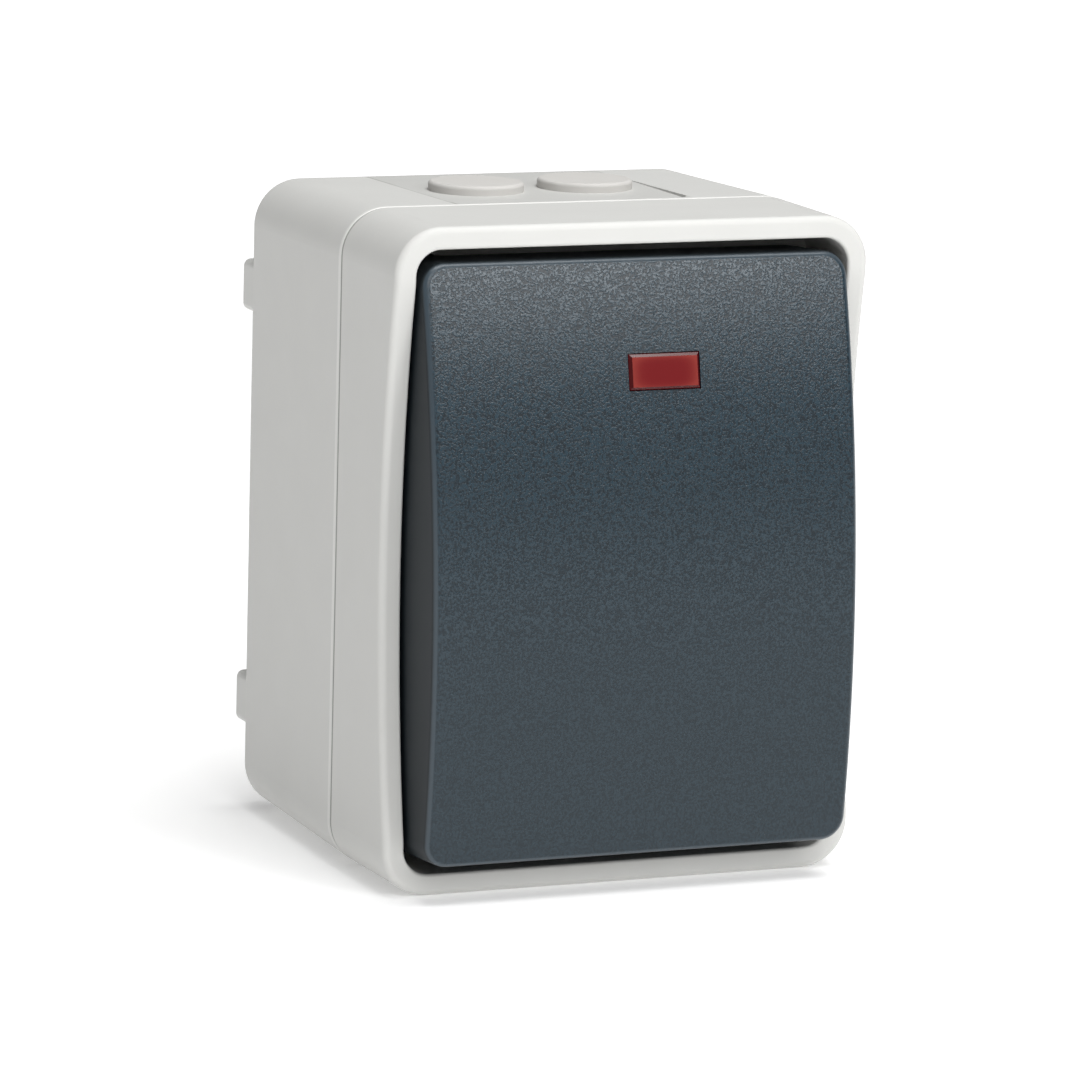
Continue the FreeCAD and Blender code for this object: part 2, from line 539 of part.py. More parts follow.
def make_support_plate():
    body = new_body("support_plate")
    plate = centred(sketch(body, "front", PLATE_REAR), PLATE_WIDTH, PLATE_HEIGHT, "plate_round")
    pad(plate, "plate_thickness")
    openings = sketch(body, "front", PLATE_FRONT)
    grow = "2 * plate_clearance"
    centred(openings, f"{BASE_WIDTH} + {grow}", f"{BASE_HEIGHT} + {grow}", "base_round")
    circles(openings, INSERT_SCREWS, "insert_screw_shank + 2 * hole_clearance")
    circles(openings, RIVETS, "rivet_diameter + 2 * thread_clearance")
    pocket(openings, "plate_thickness")
    return body


def make_insert_screws():
    return screws("insert_screws", INSERT_SCREWS, PLATE_FRONT, "insert_screw_shank",
                  "insert_screw_length", "insert_screw_head", "insert_screw_head_height")


def make_base_rivets():
    rear = f"({PLATE_REAR} - lug_thickness)"
    return studs("base_rivets", RIVETS, [(f"({rear} - rivet_head_height)", rear, "rivet_head"),
                                         (rear, PLATE_FRONT, "rivet_diameter")])


def round_topped(drawn, foot, top, width, radius):
    """Side view of an ear that stands forward from the foot depth and has rounded corners in front."""
    shoulder, half = f"({top} - {radius})", f"({width} / 2)"
    return outline(drawn, [(foot, f"-{half}"), (shoulder, f"-{half}", radius), (top, f"-{half} + {radius}"),
                           (top, f"{half} - {radius}", radius), (shoulder, half), (foot, half)])


def terminal_pocket(drawn, x, side):
    """A pocket for one clamp block, open at the end of the base where the wire comes in."""
    half = "(block_width / 2 + block_clearance)"
    inner, outer = f"({CHAMBER_END} - block_clearance)", f"({BASE_HEIGHT} / 2 + block_clearance)"
    rectangle(drawn, f"{x} - {half}", f"{x} + {half}", f"{side} * {inner}", f"{side} * {outer}")


def make_switch_base():
    """Base block with the contact chamber, terminal pockets and two ears that carry the cradle."""
    body = new_body("switch_base")
    block = sketch(body, "front", f"{PLATE_REAR} - base_depth")
    pad(centred(block, BASE_WIDTH, BASE_HEIGHT, "base_round"), "base_depth")
    lugs = sketch(body, "front", f"{PLATE_REAR} - lug_thickness")
    pad(centred(lugs, f"{BASE_WIDTH} + 2 * lug_reach", "lug_height"), "lug_thickness")
    chamber = sketch(body, "front", PLATE_REAR)
    pocket(centred(chamber, CHAMBER_WIDTH, f"2 * {CHAMBER_END}"), "chamber_depth")
    for side in ("-1", "1"):
        ear = sketch(body, "side", f"{side} * {EAR_X}")
        foot, top = f"({PLATE_REAR} - ear_thickness)", f"({PIVOT} + ear_reach)"
        round_topped(ear, foot, top, "ear_width", "ear_round")
        pad(ear, "ear_thickness", symmetric=True)
    bearing = circles(sketch(body, "side"), [(PIVOT, "0")], "trunnion + 2 * trunnion_clearance")
    pocket(bearing, f"2 * {BASE_WIDTH}", symmetric=True)
    pedestals = sketch(body, "front", CHAMBER_FLOOR)
    for side in ("-1", "1"):
        rectangle(pedestals, f"{TERMINAL_X} - block_width / 2", "strip_side", f"{side} * {STRIP_START}",
                  f"{side} * {CHAMBER_END}")
    pad(pedestals, f"{STRIP_REAR} - {CHAMBER_FLOOR}")
    pockets = sketch(body, "front", PLATE_REAR)
    terminal_pocket(pockets, TERMINAL_X, "1")
    terminal_pocket(pockets, TERMINAL_X, "-1")
    terminal_pocket(pockets, COMMON_X, "-1")
    pocket(pockets, "chamber_depth")
    hole = "rivet_diameter + 2 * thread_clearance"
    pocket(circles(sketch(body, "front", PLATE_REAR), RIVETS, hole), "lug_thickness")
    return body


def clamp_block(body, rear, width, height, x, z):
    """A brass block with a wire hole along Z and a tapped hole from the front."""
    pad(centred(sketch(body, "front", rear), width, height, x=x, z=z), "block_depth")
    wire = sketch(body, "top", f"{z} - {height} / 2")
    pocket(circles(wire, [(x, f"{rear} + wire_depth")], "wire_hole"), height)
    tapped = sketch(body, "front", f"{rear} + block_depth")
    thread = "terminal_screw_shank + 2 * thread_clearance"
    pocket(circles(tapped, [(x, z)], thread), "block_depth - wire_depth")


def make_common_terminal():
    """Bracket that carries the contact lever, with an arm to its clamp block."""
    body = new_body("common_terminal")
    inner, outer = f"({COMMON_X} + arm_width / 2)", f"({COMMON_X} - arm_width / 2)"
    right, half = "(bracket_spread / 2 + strip_thickness / 2)", "(bracket_width / 2)"
    strip = sketch(body, "front", CHAMBER_FLOOR)
    outline(strip, [(outer, f"-{CHAMBER_END}"), (inner, f"-{CHAMBER_END}"), (inner, f"-{half}"),
                    (right, f"-{half}"), (right, half), (outer, half)])
    pad(strip, "strip_thickness")
    for side in ("-1", "1"):
        ear = sketch(body, "side", f"{side} * bracket_spread / 2")
        round_topped(ear, CHAMBER_FLOOR, f"({LEVER} + bracket_rise)", "bracket_width", "bracket_round")
        pad(ear, "strip_thickness", symmetric=True)
    bearing = circles(sketch(body, "side"), [(LEVER, "0")], "stub + 2 * pin_clearance")
    pocket(bearing, "2 * bracket_spread", symmetric=True)
    clamp_block(body, CHAMBER_FLOOR, "block_width", "block_height", COMMON_X, f"(-1 * {BLOCK_Z})")
    return body


def make_contact_terminal(label, side):
    """Contact strip on its pedestal, with a clamp block at the end of the base."""
    body = new_body(label)
    strip = sketch(body, "front", STRIP_REAR)
    rectangle(strip, f"{TERMINAL_X} - block_width / 2", "strip_side",
              f"{side} * {STRIP_START}", f"{side} * {CHAMBER_END}")
    pad(strip, "strip_thickness")
    clamp_block(body, CHAMBER_FLOOR, "block_width", "block_height", TERMINAL_X, f"({side} * {BLOCK_Z})")
    place, hole = [("0", f"{side} * {CONTACT_Z}")], "contact_shank + 2 * thread_clearance"
    pocket(circles(sketch(body, "front", STRIP_FRONT), place, hole), "strip_thickness")
    return body


CONTACTS = [("0", f"-1 * {CONTACT_Z}"), ("0", CONTACT_Z)]


def make_fixed_contacts():
    return studs("fixed_contacts", CONTACTS, [(STRIP_REAR, STRIP_FRONT, "contact_shank"),
                                              (STRIP_FRONT, CONTACT_FACE, "contact_diameter")])


def make_terminal_screws():
    places = [(TERMINAL_X, BLOCK_Z), (TERMINAL_X, f"-{BLOCK_Z}"), (COMMON_X, f"-{BLOCK_Z}")]
    return screws("terminal_screws", places, BLOCK_FRONT, "terminal_screw_shank",
                  "terminal_screw_length", "terminal_screw_head", "terminal_screw_head_height")


def make_earth_terminal():
    """Spare clamp for the earth wire, in a saddle on the floor of the box."""
    body = new_body("earth_terminal")
    clamp_block(body, EARTH_REAR, "earth_size", "earth_size", "earth_x", EARTH_Z)
    return body


def make_earth_terminal_screw():
    return screws("earth_terminal_screw", [("earth_x", EARTH_Z)], f"({EARTH_REAR} + block_depth)",
                  "terminal_screw_shank", "terminal_screw_length",
                  "terminal_screw_head", "terminal_screw_head_height")


def make_lamp_holder():
    body = new_body("lamp_holder")
    block = sketch(body, "front", PLATE_REAR)
    pad(centred(block, "holder_width", "holder_height", x="lamp_x", z=LAMP_Z), "holder_depth")
    socket = sketch(body, "front", f"{PLATE_REAR} + holder_depth")
    pocket(circles(socket, [("lamp_x", LAMP_Z)], "lamp_diameter + 2 * lamp_clearance"), "lamp_socket")
    return body


def make_neon_lamp():
    """Glass bulb with a domed end, standing in its holder."""
    body = new_body("neon_lamp")
    rear = f"({PLATE_REAR} + holder_depth - lamp_socket)"
    tip, half = f"({rear} + lamp_length)", "(lamp_diameter / 2)"
    profile = sketch(body, "side")
    outline(profile, [(rear, "0"), (tip, "0", half), (f"{tip} - {half}", half), (rear, half)])
    revolve(profile, "H_Axis")
    body.setExpression("Placement.Base.x", bound("lamp_x"))
    body.setExpression("Placement.Base.z", bound(LAMP_Z))
    doc.recompute()
    return body


# Rocker group, drawn square about its pivot with depth counted forward from it

def on_face(z, sunk="0"):
    """Depth of the rocker's cylindrical face at height z, on a surface sunk below it."""
    return f"(rocker_crown - face_radius + sqrt((face_radius - ({sunk})) ^ 2 - ({z}) ^ 2))"


def face_profile(drawn, rear, low, high, sunk):
    """Outline between two heights, from the rear depth to the curved surface."""
    return outline(drawn, [(rear, low), (on_face(low, sunk), low, f"face_radius - ({sunk})"),
                           (on_face(high, sunk), high), (rear, high)])


def on_surface(sunk, slack=NEAR):
    """Tests that points lie on the curved face, or on the surface sunk below it."""
    axis, radius = value("rocker_crown - face_radius"), value(f"face_radius - ({sunk})")
    return lambda points: all(abs(math.hypot(-p.y - axis, p.z) - radius) < slack for p in points)


def make_rocker():
    """Hollow cap with a face curved about X, grip walls for the cradle and a window for the lens."""
    body = new_body("rocker")
    cap = face_profile(sketch(body, "side"), "-rocker_skirt", f"-{ROCKER_Z}", ROCKER_Z, "0")
    pad(cap, f"2 * {ROCKER_X}", symmetric=True)
    half_x, half_z = value(ROCKER_X), value(ROCKER_Z)
    dress(body, "Fillet", "rocker_corner",
          lambda points: all(abs(abs(p.x) - half_x) < NEAR and abs(abs(p.z) - half_z) < NEAR for p in points))
    dress(body, "Fillet", "rocker_round", on_surface("0"))
    inside = f"({ROCKER_Z} - rocker_wall)"
    hollow = face_profile(sketch(body, "side"), "-rocker_skirt", f"-{inside}", inside, "rocker_face")
    pocket(hollow, f"2 * ({ROCKER_X} - rocker_wall)", symmetric=True)
    for side in ("-1", "1"):
        grip = sketch(body, "side", f"{side} * {GRIP_X}")
        face_profile(grip, CRADLE_FRONT, f"-{CRADLE_Z}", CRADLE_Z, "rocker_face / 2")
        pad(grip, "grip_thickness", symmetric=True)
    window = sketch(body, "front", "rocker_crown + lens_proud")
    centred(window, "lens_width + 2 * lens_clearance", "lens_height + 2 * lens_clearance",
            x="lens_x", z=LENS_Z)
    pocket(window, "rocker_crown")
    return seat_on(body, PIVOT, "-rocker_tilt")


def make_indicator_lens():
    """Red light pipe with a flat, bevelled front, held from behind by its flange."""
    body = new_body("indicator_lens")
    seat = "(rocker_face + lens_clearance)"
    rear = f"({seat} + lens_flange_thickness)"
    flange_width, flange_height = "(lens_width + 2 * lens_flange)", "(lens_height + 2 * lens_flange)"
    for sunk, width, height in (("-lens_proud", "lens_width", "lens_height"),
                                (seat, flange_width, flange_height)):
        low, high = f"({LENS_Z} - {height} / 2)", f"({LENS_Z} + {height} / 2)"
        pipe = sketch(body, "side", "lens_x")
        outline(pipe, [(on_face(low, rear), low), (on_face(low, sunk), low),
                       (on_face(high, sunk), high), (on_face(high, rear), high)])
        pad(pipe, width, symmetric=True)
    dress(body, "Chamfer", "lens_bevel", on_surface("-lens_proud", OUTLINE_SLACK))
    return seat_on(body, PIVOT, "-rocker_tilt")


def make_rocker_cradle():
    """Plate on two trunnions that the rocker clips to, with a spring barrel pointing back."""
    body = new_body("rocker_cradle")
    axle = [("0", "0")]
    hub = circles(sketch(body, "side"), axle, "hub")
    pad(hub, f"2 * ({EAR_INSIDE} - hub_gap)", symmetric=True)
    trunnions = circles(sketch(body, "side"), axle, "trunnion")
    pad(trunnions, f"2 * ({EAR_INSIDE} + trunnion_engagement)", symmetric=True)
    plate = sketch(body, "front", "cradle_rear")
    pad(centred(plate, f"2 * {CRADLE_X}", f"2 * {CRADLE_Z}"), "cradle_thickness")
    rails = sketch(body, "front", CRADLE_FRONT)
    for side in ("-1", "1"):
        inner = f"{side} * ({GRIP_X} + grip_thickness / 2 + rail_clearance)"
        rectangle(rails, inner, f"{inner} + {side} * rail_thickness", f"-{CRADLE_Z}", CRADLE_Z)
    pad(rails, "rail_height")
    barrel = circles(sketch(body, "front", "-barrel_length"), axle, "barrel")
    pad(barrel, "barrel_length + cradle_rear")
    bore = circles(sketch(body, "front", "-barrel_length"), axle, "barrel_bore")
    pocket(bore, "barrel_length + bore_end", forward=True)
    return seat_on(body, PIVOT, "-rocker_tilt")


def make_toggle_plunger():
    """Domed plunger that slides in the barrel and rides on the contact lever."""
    body = new_body("toggle_plunger")
    radius = "(plunger_diameter / 2)"
    collar_end = f"({radius} - plunger_reach + plunger_collar)"
    profile = sketch(body, "side")
    outline(profile, [
        ("-plunger_reach", "0", f"-{radius}"),
        (f"{radius} - plunger_reach", radius),
        (collar_end, radius),
        (collar_end, "plunger_stem / 2"),
        (f"{collar_end} + plunger_stem_length", "plunger_stem / 2"),
        (f"{collar_end} + plunger_stem_length", "0"),
    ])
    revolve(profile, "H_Axis")
    return seat_on(body, PIVOT, "-rocker_tilt")


def make_toggle_spring():
    """Compression spring between the plunger's collar and the end of the barrel."""
    body = new_body("toggle_spring")
    start = "(plunger_diameter / 2 - plunger_reach + plunger_collar + spring_wire / 2)"
    height = f"(bore_end - spring_wire / 2 - {start})"
    wire = circles(sketch(body, "side"), [(start, "(spring_outside - spring_wire) / 2")], "spring_wire")
    coil = feature(wire, "AdditiveHelix", ReferenceAxis=(wire, ["H_Axis"]), Mode="pitch-height-angle",
                   Angle=0)
    coil.setExpression("Pitch", bound(f"{height} / spring_turns"))
    coil.setExpression("Height", bound(height))
    doc.recompute()
    return seat_on(body, PIVOT, "-rocker_tilt")


def make_contact_lever():
    """Rocking contact strip, balanced on two side stubs that turn in the common terminal's bracket."""
    body = new_body("contact_lever")
    length = f"2 * ({CONTACT_Z} + lever_overhang)"
    pad(centred(sketch(body, "front", LEVER_REAR), "lever_width", length), "lever_thickness")
    for side in ("-1", "1"):
        stub = circles(sketch(body, "side", f"{side} * stub_x"), [("0", "0")], "stub")
        pad(stub, "stub_length", symmetric=True)
    hole = sketch(body, "front", "lever_thickness / 2")
    pocket(circles(hole, CONTACTS, "contact_shank + 2 * thread_clearance"), "lever_thickness")
    return seat_on(body, LEVER, "rocker_tilt")


def make_moving_contacts():
    face = f"({LEVER_REAR} - contact_height)"
    body = studs("moving_contacts", CONTACTS, [(face, LEVER_REAR, "contact_diameter"),
                                               (LEVER_REAR, "(lever_thickness / 2)", "contact_shank")])
    return seat_on(body, LEVER, "rocker_tilt")


nodes = [
    make_rear_box(),
    make_front_cover(),
    make_housing_seal(),
    make_grommet("left_cable_grommet", "-entry_spread / 2"),
    make_grommet("right_cable_grommet", "entry_spread / 2"),
    make_cover_screws(),
    make_cover_screw_seals(),
    make_support_plate(),
    make_insert_seal(),
    make_insert_screws(),
    make_base_rivets(),
    make_switch_base(),
    make_common_terminal(),
    make_contact_terminal("upper_contact_terminal", "1"),
    make_contact_terminal("lower_contact_terminal", "-1"),
    make_fixed_contacts(),
    make_terminal_screws(),
    make_earth_terminal(),
    make_earth_terminal_screw(),
    make_lamp_holder(),
    make_neon_lamp(),
    make_rocker(),
    make_indicator_lens(),
    make_rocker_cradle(),
    make_toggle_plunger(),
    make_toggle_spring(),
    make_contact_lever(),
    make_moving_contacts(),
]
doc.recompute()

failed = [made.Name for made in doc.Objects if {"Invalid", "Error"} & set(made.State)]
failed += [node.Label for node in nodes if node.Shape.isNull() or not node.Shape.isValid()]
if failed:
    raise RuntimeError(f"failed: {failed}")

os.makedirs("parts", exist_ok=True)
for node in nodes:
    node.Shape.exportStep(f"parts/{node.Label}.step")
    print(node.Label, len(node.Shape.Solids), round(node.Shape.Volume, 1))
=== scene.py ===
import math

import bpy
from mathutils import Matrix, Vector


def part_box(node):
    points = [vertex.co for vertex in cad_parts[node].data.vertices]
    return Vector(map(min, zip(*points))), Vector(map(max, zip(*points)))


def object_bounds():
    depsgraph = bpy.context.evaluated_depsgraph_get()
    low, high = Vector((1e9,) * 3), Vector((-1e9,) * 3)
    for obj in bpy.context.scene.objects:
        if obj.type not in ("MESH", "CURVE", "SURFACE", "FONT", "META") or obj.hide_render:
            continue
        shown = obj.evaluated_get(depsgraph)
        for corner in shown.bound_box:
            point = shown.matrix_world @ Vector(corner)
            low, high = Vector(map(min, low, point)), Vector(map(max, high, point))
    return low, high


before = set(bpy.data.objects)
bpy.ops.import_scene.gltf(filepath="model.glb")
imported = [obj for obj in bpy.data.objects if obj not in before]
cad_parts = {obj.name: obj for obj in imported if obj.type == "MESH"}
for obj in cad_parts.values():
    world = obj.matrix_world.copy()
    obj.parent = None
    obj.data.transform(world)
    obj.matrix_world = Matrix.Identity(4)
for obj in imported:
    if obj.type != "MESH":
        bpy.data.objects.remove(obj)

cad_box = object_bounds()


# Rear box: the shell that is screwed to the wall and holds the insert. It is injection moulded in
# light grey ASA, a weatherproof plastic, in a mould with a fine spark-eroded finish.

def linear(hex_colour):
    """An sRGB hex colour as linear RGBA."""
    parts = [int(hex_colour[i:i + 2], 16) / 255 for i in (1, 3, 5)]
    return [p / 12.92 if p <= 0.04045 else ((p + 0.055) / 1.055) ** 2.4 for p in parts] + [1.0]


def fill(tree, node, inputs):
    """Gives a node's inputs their values or links. A node as a source means its first output."""
    for name, source in inputs.items():
        if isinstance(source, bpy.types.Node):
            source = source.outputs[0]
        if isinstance(source, bpy.types.NodeSocket):
            tree.links.new(source, node.inputs[name])
        else:
            node.inputs[name].default_value = source


def add(tree, kind, inputs, **settings):
    """Adds a node with its settings and inputs."""
    node = tree.nodes.new("ShaderNode" + kind)
    for name, setting in settings.items():
        setattr(node, name, setting)
    fill(tree, node, inputs)
    return node


def new_material(name):
    """A new material, its node tree and its surface shader."""
    material = bpy.data.materials.new(name)
    material.use_nodes = True
    return material, material.node_tree, material.node_tree.nodes["Principled BSDF"]


def wear(material, *names):
    """Gives CAD nodes a material."""
    for name in names:
        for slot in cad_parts[name].material_slots:
            slot.material = material


# The pad is a level sunk into the sloping top, round the cable entries.
PAD_HALF_WIDTH, PAD_FRONT_Y, PAD_Z = 0.01665, -0.0371, 0.0423
STEP_FOOT_Z, STEP_LINE_HALF = 0.0421, 0.0002
SEAM_Y, SEAM_HALF = -0.03803, 0.0003
SEAM_HIGHLIGHT_Y, SEAM_HIGHLIGHT_HALF = -0.0374, 0.0003
MELT_MOTTLE, SPARK_GRAIN, SPARK_DEPTH = 0.008, 0.0004, 0.00001

# ASA is satin and very even. The eye gets a faint mottle from the melt flow, some 8 mm across, and a
# spark-eroded grain, drawn 0.4 mm wide because the real 0.1 mm is too fine to show. Painted shade
# darkens the sunk pad, the seam and the foot of the pad's left step, and a painted highlight lights
# the edge of the box at the seam.
asa, tree, surface = new_material("moulded_asa_light_grey")
place = add(tree, "TexCoord", {}).outputs["Object"]
mottle = add(tree, "TexNoise", {"Vector": place, "Scale": 1 / MELT_MOTTLE, "Detail": 2.0})
grey = add(tree, "MixRGB", {"Fac": mottle, "Color1": linear("#cfcfcc"), "Color2": linear("#d4d4d1")})
axes = add(tree, "SeparateXYZ", {"Vector": place}).outputs
in_width = add(tree, "Math", {0: axes["X"], 1: 0.0, 2: PAD_HALF_WIDTH}, operation="COMPARE")
behind = add(tree, "Math", {0: axes["Y"], 1: PAD_FRONT_Y}, operation="GREATER_THAN")
above = add(tree, "Math", {0: axes["Z"], 1: PAD_Z}, operation="GREATER_THAN")
over_pad = add(tree, "Math", {0: in_width, 1: behind}, operation="MULTIPLY")
pad_shade = add(tree, "Math", {0: over_pad, 1: above}, operation="MULTIPLY")
at_step = add(tree, "Math", {0: axes["X"], 1: -PAD_HALF_WIDTH, 2: STEP_LINE_HALF},
              operation="COMPARE")
on_top = add(tree, "Math", {0: axes["Z"], 1: STEP_FOOT_Z}, operation="GREATER_THAN")
beside_pad = add(tree, "Math", {0: at_step, 1: behind}, operation="MULTIPLY")
step = add(tree, "Math", {0: beside_pad, 1: on_top}, operation="MULTIPLY")
# A painted highlight lights a thin band on the box's edge at the seam.
seam_highlight = add(tree, "Math", {0: axes["Y"], 1: SEAM_HIGHLIGHT_Y, 2: SEAM_HIGHLIGHT_HALF}, operation="COMPARE")
seam = add(tree, "Math", {0: axes["Y"], 1: SEAM_Y, 2: SEAM_HALF}, operation="COMPARE")
# Painted shade darkens the sunk pad, the seam and the foot of the pad's left step, and the band at
# the seam gets a painted highlight.
for spot, colour in (pad_shade, "#c6c6c3"), (step, "#b2b2ae"), (seam_highlight, "#e0e0dd"), (seam, "#9b9b97"):
    grey = add(tree, "MixRGB", {"Fac": spot, "Color1": grey, "Color2": linear(colour)})
grain = add(tree, "TexNoise", {"Vector": place, "Scale": 1 / SPARK_GRAIN, "Detail": 1.0})
satin = add(tree, "MapRange", {"Value": grain, "To Min": 0.46, "To Max": 0.58})
bump = add(tree, "Bump", {"Height": grain, "Strength": 0.35, "Distance": SPARK_DEPTH})
fill(tree, surface, {"Base Color": grey, "Roughness": satin, "Normal": bump,
                     "IOR": 1.52, "Specular IOR Level": 0.4})
wear(asa, "rear_box")


# Cable grommets: two blind stoppers pushed into the entries on top, to be cut open for a cable. They
# are moulded in soft grey TPE rubber.

BLOOM_PATCH, TPE_GRAIN, TPE_DEPTH = 0.003, 0.0005, 0.00001

# TPE is a little darker and duller than the box. Wax blooms on it in faint patches some 3 mm across,
# and its moulded grain is drawn 0.5 mm wide, because the real one is too fine to show.
tpe, tree, surface = new_material("moulded_tpe_grey")
place = add(tree, "TexCoord", {}).outputs["Object"]
bloom = add(tree, "TexNoise", {"Vector": place, "Scale": 1 / BLOOM_PATCH, "Detail": 3.0})
grey = add(tree, "MixRGB", {"Fac": bloom, "Color1": linear("#c6c4c0"), "Color2": linear("#cccac7")})
grain = add(tree, "TexNoise", {"Vector": place, "Scale": 1 / TPE_GRAIN, "Detail": 1.0})
matt = add(tree, "MapRange", {"Value": grain, "To Min": 0.6, "To Max": 0.75})
bump = add(tree, "Bump", {"Height": grain, "Strength": 0.3, "Distance": TPE_DEPTH})
fill(tree, surface, {"Base Color": grey, "Roughness": matt, "Normal": bump,
                     "IOR": 1.5, "Specular IOR Level": 0.3})
wear(tpe, "left_cable_grommet", "right_cable_grommet")


# Seals: the ring in the seam, the gasket under the cover's deck and the washers under the cover
# screws. They are cut and moulded from black EPDM rubber and held by being squeezed.

TALC_PATCH = 0.002

# EPDM is dull black, greyed in patches some 2 mm across by the talc that keeps it from sticking.
epdm, tree, surface = new_material("black_epdm_rubber")
place = add(tree, "TexCoord", {}).outputs["Object"]
talc = add(tree, "TexNoise", {"Vector": place, "Scale": 1 / TALC_PATCH, "Detail": 4.0})
black = add(tree, "MixRGB", {"Fac": talc, "Color1": linear("#17181a"), "Color2": linear("#26272a")})
matt = add(tree, "MapRange", {"Value": talc, "To Min": 0.65, "To Max": 0.85})
fill(tree, surface, {"Base Color": black, "Roughness": matt})
wear(epdm, "housing_seal", "insert_seal", "cover_screw_seals")


# Support plate and screws: a stamped plate that carries the insert, its four screws, the two cover
# screws and the terminal screws. All are steel with a thin bright zinc plating.

ROLLING_LINE, ALONG_LINE, ZINC_CLOUD = 0.0004, 0.05, 0.005

# Zinc plating is bright and cloudy, in clouds some 5 mm across. The sheen runs in the upright lines
# that rolling left in the steel, drawn 0.4 mm wide and 20 times as long, coarser than real ones.
zinc, tree, surface = new_material("zinc_plated_steel")
place = add(tree, "TexCoord", {}).outputs["Object"]
rolled = add(tree, "Mapping", {"Vector": place, "Scale": (1.0, 1.0, ALONG_LINE)})
lines = add(tree, "TexNoise", {"Vector": rolled, "Scale": 1 / ROLLING_LINE, "Detail": 2.0})
cloud = add(tree, "TexNoise", {"Vector": place, "Scale": 1 / ZINC_CLOUD, "Detail": 3.0})
bright = add(tree, "MixRGB", {"Fac": cloud, "Color1": linear("#b9bbbd"), "Color2": linear("#d2d2cc")})
sheen = add(tree, "MapRange", {"Value": lines, "To Min": 0.28, "To Max": 0.45})
fill(tree, surface, {"Base Color": bright, "Roughness": sheen, "Metallic": 1.0})
wear(zinc, "support_plate", "insert_screws", "cover_screws", "terminal_screws",
     "earth_terminal_screw")


# Switch base and lamp holder: the insulating block with the contact chamber, riveted behind the
# plate, and the socket of the lamp. They are pressed from urea resin filled with cellulose.

FILLER_FLECK = 0.0015

# Urea resin is ivory, hard and half glossy. The filler gives it faint flecks some 1.5 mm across.
urea, tree, surface = new_material("pressed_urea_ivory")
place = add(tree, "TexCoord", {}).outputs["Object"]
filler = add(tree, "TexNoise", {"Vector": place, "Scale": 1 / FILLER_FLECK, "Detail": 5.0,
                                "Roughness": 0.6})
ivory = add(tree, "MixRGB", {"Fac": filler, "Color1": linear("#d9d5c6"), "Color2": linear("#e6e2d4")})
gloss = add(tree, "MapRange", {"Value": filler, "To Min": 0.32, "To Max": 0.44})
fill(tree, surface, {"Base Color": ivory, "Roughness": gloss, "IOR": 1.54})
wear(urea, "switch_base", "lamp_holder")


# Terminals, rivets and contact lever: the strips, clamp blocks and the rocking lever that carry the
# current. They are stamped or cut from brass.

TARNISH_PATCH = 0.003

# Brass is warm and shiny, and darker and duller in the patches, some 3 mm across, that tarnish.
brass, tree, surface = new_material("stamped_brass")
place = add(tree, "TexCoord", {}).outputs["Object"]
tarnish = add(tree, "TexNoise", {"Vector": place, "Scale": 1 / TARNISH_PATCH, "Detail": 4.0})
yellow = add(tree, "MixRGB", {"Fac": tarnish, "Color1": linear("#b98f45"),
                              "Color2": linear("#e2bf72")})
polish = add(tree, "MapRange", {"Value": tarnish, "To Min": 0.4, "To Max": 0.24})
fill(tree, surface, {"Base Color": yellow, "Roughness": polish, "Metallic": 1.0})
wear(brass, "common_terminal", "upper_contact_terminal", "lower_contact_terminal", "earth_terminal",
     "base_rivets", "contact_lever")


# Contacts: small rivets closed in the strips and the lever, where the current is made and broken.
# They are cold-headed from silver alloy wire.

ARC_SPECK = 0.0006

# Silver alloy is white and bright, with the dull specks, some 0.6 mm across, that the arc leaves.
silver, tree, surface = new_material("silver_alloy_contact")
place = add(tree, "TexCoord", {}).outputs["Object"]
specks = add(tree, "TexNoise", {"Vector": place, "Scale": 1 / ARC_SPECK, "Detail": 3.0})
white = add(tree, "MixRGB", {"Fac": specks, "Color1": linear("#c9c7c0"), "Color2": linear("#efeeea")})
polish = add(tree, "MapRange", {"Value": specks, "To Min": 0.4, "To Max": 0.18})
fill(tree, surface, {"Base Color": white, "Roughness": polish, "Metallic": 1.0})
wear(silver, "fixed_contacts", "moving_contacts")


# Neon lamp: a small glow lamp standing in its holder behind the lens. Its bulb is blown from a
# length of glass tube.

BLOWN_WAVE = 0.002

# Lamp glass is clear and faintly warm, and its gloss wavers over some 2 mm where it was blown.
bulb, tree, surface = new_material("blown_lamp_glass")
place = add(tree, "TexCoord", {}).outputs["Object"]
waves = add(tree, "TexNoise", {"Vector": place, "Scale": 1 / BLOWN_WAVE, "Detail": 1.0})
gloss = add(tree, "MapRange", {"Value": waves, "To Min": 0.01, "To Max": 0.05})
fill(tree, surface, {"Base Color": linear("#f4e9e0"), "Roughness": gloss,
                     "Transmission Weight": 1.0, "IOR": 1.5})
wear(bulb, "neon_lamp")


# Cradle, plunger and spring: the cradle turns on two trunnions and carries the rocker, and its spring
# pushes the plunger onto the lever. The mouldings are acetal, the spring is coiled from steel wire.

ACETAL_FLOW, DIE_MARK = 0.006, 0.0008

# Natural acetal is white and waxy, with a faint mottle from the melt flow, some 6 mm across.
acetal, tree, surface = new_material("natural_acetal")
place = add(tree, "TexCoord", {}).outputs["Object"]
flow = add(tree, "TexNoise", {"Vector": place, "Scale": 1 / ACETAL_FLOW, "Detail": 2.0})
white = add(tree, "MixRGB", {"Fac": flow, "Color1": linear("#e2e1dc"), "Color2": linear("#ebeae6")})
wax = add(tree, "MapRange", {"Value": flow, "To Min": 0.34, "To Max": 0.42})
fill(tree, surface, {"Base Color": white, "Roughness": wax, "IOR": 1.48})
wear(acetal, "rocker_cradle", "toggle_plunger")

